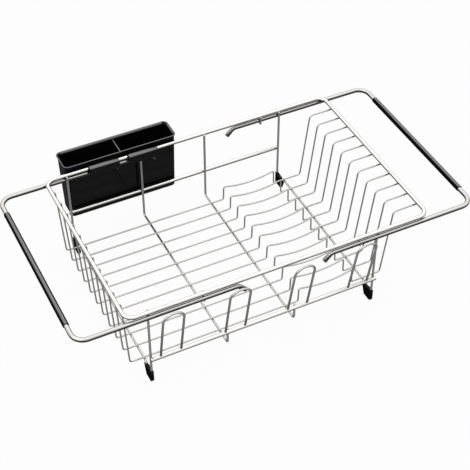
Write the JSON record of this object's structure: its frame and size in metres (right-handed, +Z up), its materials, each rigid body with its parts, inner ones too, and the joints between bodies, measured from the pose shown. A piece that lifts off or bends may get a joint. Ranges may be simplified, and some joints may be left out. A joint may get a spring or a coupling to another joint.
{
  "type": "over the sink dish rack",
  "caption": "Wire dish basket with sliding side arms that rest over a sink, cup loops, plate slots and a hook-on utensil holder.",
  "frame": {"origin": "middle of the whole rack's box in plan, with the arms as pictured, on the plane of the feet's soles", "axes": "+X to the right, along the sliding arms; +Y to the back, towards the utensil holder; +Z up"},
  "size_m": [0.4764, 0.2849, 0.118],
  "materials": {
    "heavy_wire": "polished",
    "bar_wire": "polished",
    "thin_wire": "polished",
    "grip_rubber": "satin",
    "foot_rubber": "matt",
    "holder_plastic": "satin"
  },
  "bodies": {
    "basket": {"rim": "heavy_wire", "front_rail": "heavy_wire", "back_rail": "heavy_wire", "floor_wire_01": "thin_wire", "floor_wire_02": "thin_wire", "floor_wire_03": "thin_wire", "floor_wire_04": "thin_wire", "floor_wire_05": "thin_wire", "floor_wire_06": "thin_wire", "floor_wire_07": "thin_wire", "floor_wire_08": "thin_wire", "floor_wire_09": "thin_wire", "floor_wire_10": "thin_wire", "floor_wire_11": "thin_wire", "cross_bar_1": "bar_wire", "cross_bar_2": "bar_wire", "cross_bar_3": "bar_wire", "cross_bar_4": "bar_wire", "foot_front_left": "foot_rubber", "foot_back_left": "foot_rubber", "foot_front_right": "foot_rubber", "foot_back_right": "foot_rubber", "cup_loop_1": "bar_wire", "cup_loop_2": "bar_wire", "cup_loop_3": "bar_wire", "cup_loop_4": "bar_wire", "arm_guide_front_left": "thin_wire", "arm_guide_back_left": "thin_wire", "arm_guide_front_right": "thin_wire", "arm_guide_back_right": "thin_wire"},
    "left_arm": {"left_arm": "heavy_wire", "left_grip": "grip_rubber"},
    "right_arm": {"right_arm": "heavy_wire", "right_grip": "grip_rubber"},
    "utensil_holder": {"utensil_holder": "holder_plastic", "holder_lip": "holder_plastic", "holder_divider": "holder_plastic", "holder_hook_left": "holder_plastic", "holder_hook_right": "holder_plastic"}
  },
  "joints": [
    {"name": "left_arm_slide", "type": "slide", "parent": "basket", "child": "left_arm", "axis": [-1, 0, 0], "range_m": [-0.038, 0.036]},
    {"name": "right_arm_slide", "type": "slide", "parent": "basket", "child": "right_arm", "axis": [1, 0, 0], "range_m": [-0.042, 0.032]},
    {"name": "holder_lift", "type": "slide", "parent": "basket", "child": "utensil_holder", "axis": [0, 0, 1], "range_m": [0, 0.06]}
  ]
}
